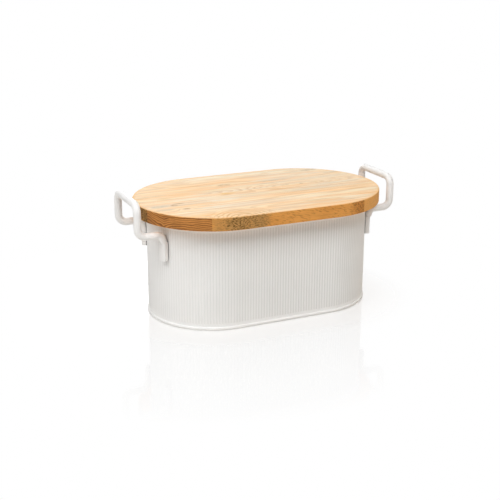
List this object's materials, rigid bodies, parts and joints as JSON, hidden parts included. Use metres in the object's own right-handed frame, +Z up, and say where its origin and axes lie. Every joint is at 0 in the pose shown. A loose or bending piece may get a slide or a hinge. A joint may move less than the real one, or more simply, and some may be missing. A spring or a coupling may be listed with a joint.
{
  "type": "bread box",
  "caption": "Oval bread box with a ribbed painted metal tub, rigid wire-rod handles at both ends and a loose lid of glued wooden staves.",
  "frame": {"origin": "on the table, under the middle of the tub", "axes": "+X along the long side towards the right-hand handle, -Y the front long side, +Z up"},
  "size_m": [0.385, 0.212, 0.1725],
  "materials": {
    "tub_paint": "warm white satin paint on ribbed sheet steel",
    "handle_paint": "warm white satin paint on steel rod",
    "stave_wood": "pale acacia-like board, lightly oiled, orange-brown end grain",
    "batten_wood": "plain sanded wood",
    "screw_steel": "zinc-plated steel",
    "wire_steel": "plain steel wire, hidden in the rolled rim"
  },
  "bodies": {
    "tub": {"tub_wall": "tub_paint", "rim_wire": "wire_steel", "base_plate": "tub_paint", "handle_left": "handle_paint", "handle_right": "handle_paint", "handle_screw_left_front": "screw_steel", "handle_washer_left_front": "screw_steel", "handle_screw_left_back": "screw_steel", "handle_washer_left_back": "screw_steel", "handle_screw_right_front": "screw_steel", "handle_washer_right_front": "screw_steel", "handle_screw_right_back": "screw_steel", "handle_washer_right_back": "screw_steel"},
    "lid": {"lid_stave_1": "stave_wood", "lid_stave_2": "stave_wood", "lid_stave_3": "stave_wood", "lid_stave_4": "stave_wood", "lid_batten_left": "batten_wood", "lid_batten_right": "batten_wood", "batten_screw_left_1": "screw_steel", "batten_screw_left_2": "screw_steel", "batten_screw_left_3": "screw_steel", "batten_screw_right_1": "screw_steel", "batten_screw_right_2": "screw_steel", "batten_screw_right_3": "screw_steel"}
  },
  "joints": [
    {"name": "lid_lift", "type": "slide", "parent": "tub", "child": "lid", "axis": [0, 0, 1], "range_m": [0, 0.15]}
  ]
}
